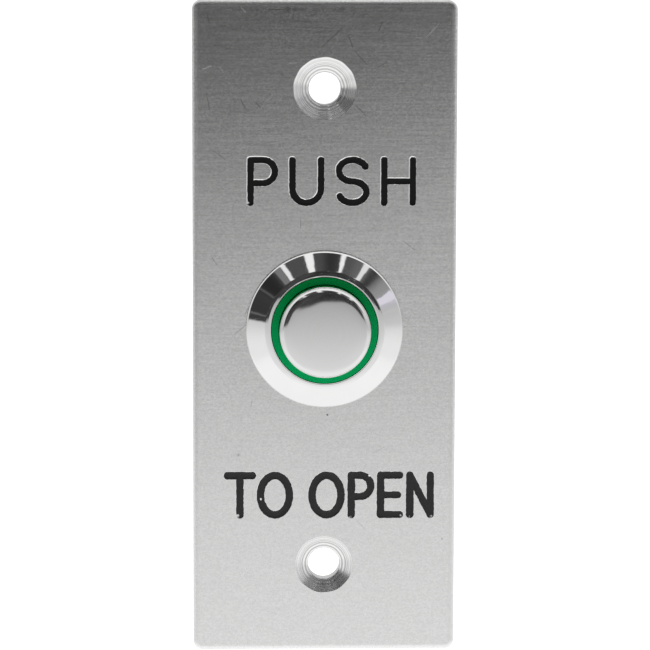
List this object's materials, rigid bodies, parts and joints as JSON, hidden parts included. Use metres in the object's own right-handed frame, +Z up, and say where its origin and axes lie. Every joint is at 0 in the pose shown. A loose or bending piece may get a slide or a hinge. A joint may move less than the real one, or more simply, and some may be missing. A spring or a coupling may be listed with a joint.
{
  "type": "door exit button",
  "caption": "Upright steel plate with countersunk screw holes and a round push button in a turned bezel with a green light ring; switch housing, lock washer and hex nut behind.",
  "frame": {"origin": "centre of the faceplate's back face, on the button's axis and midway between the two screw holes", "axes": "+Y runs into the wall along the button's axis, +Z is up along the plate's height, +X is to the right seen from the front"},
  "size_m": [0.037, 0.035, 0.092],
  "materials": {
    "faceplate": "finely brushed across its width, with filled engraved lettering",
    "bezel_barrel": "turned and polished head, plain thread behind",
    "head_gasket": "smooth",
    "light_ring": "translucent green, satin front",
    "button_cap": "satin turned face with a polished rim",
    "cap_carrier": "moulded",
    "plunger_seal": "smooth",
    "plunger_stem": "moulded",
    "return_spring": "drawn wire",
    "lamp_board": "solder mask",
    "lamps": "clear lens",
    "lamp_resistors": "glazed",
    "contact_housing": "moulded",
    "terminal_base": "moulded",
    "terminal_common": "stamped strip",
    "terminal_normally_closed": "stamped strip",
    "terminal_normally_open": "stamped strip",
    "terminal_lamp_plus": "stamped strip",
    "terminal_lamp_minus": "stamped strip",
    "sealing_resin": "poured, glossy",
    "contact_bridge": "stamped sheet",
    "bridge_clip": "spring steel",
    "fixed_contact_tips": "silver",
    "bridge_contact_tips": "silver",
    "lock_washer": "stamped",
    "panel_nut": "turned from hexagon bar"
  },
  "bodies": {
    "panel": {"faceplate": "faceplate", "bezel_barrel": "bezel_barrel", "head_gasket": "head_gasket", "light_ring": "light_ring", "return_spring": "return_spring", "lamp_board": "lamp_board", "lamps": "lamps", "lamp_resistors": "lamp_resistors", "contact_housing": "contact_housing", "terminal_base": "terminal_base", "terminal_common": "terminal_common", "terminal_normally_closed": "terminal_normally_closed", "terminal_normally_open": "terminal_normally_open", "terminal_lamp_plus": "terminal_lamp_plus", "terminal_lamp_minus": "terminal_lamp_minus", "sealing_resin": "sealing_resin", "fixed_contact_tips": "fixed_contact_tips", "lock_washer": "lock_washer", "panel_nut": "panel_nut"},
    "button": {"button_cap": "button_cap", "cap_carrier": "cap_carrier", "plunger_seal": "plunger_seal", "plunger_stem": "plunger_stem", "contact_bridge": "contact_bridge", "bridge_clip": "bridge_clip", "bridge_contact_tips": "bridge_contact_tips"}
  },
  "joints": [
    {"name": "button_press", "type": "slide", "parent": "panel", "child": "button", "axis": [0, 1, 0], "range_m": [0, 0.0025], "stiffness_N_per_m": 1000, "springref_m": -0.0015, "deforming": ["return_spring"]}
  ]
}
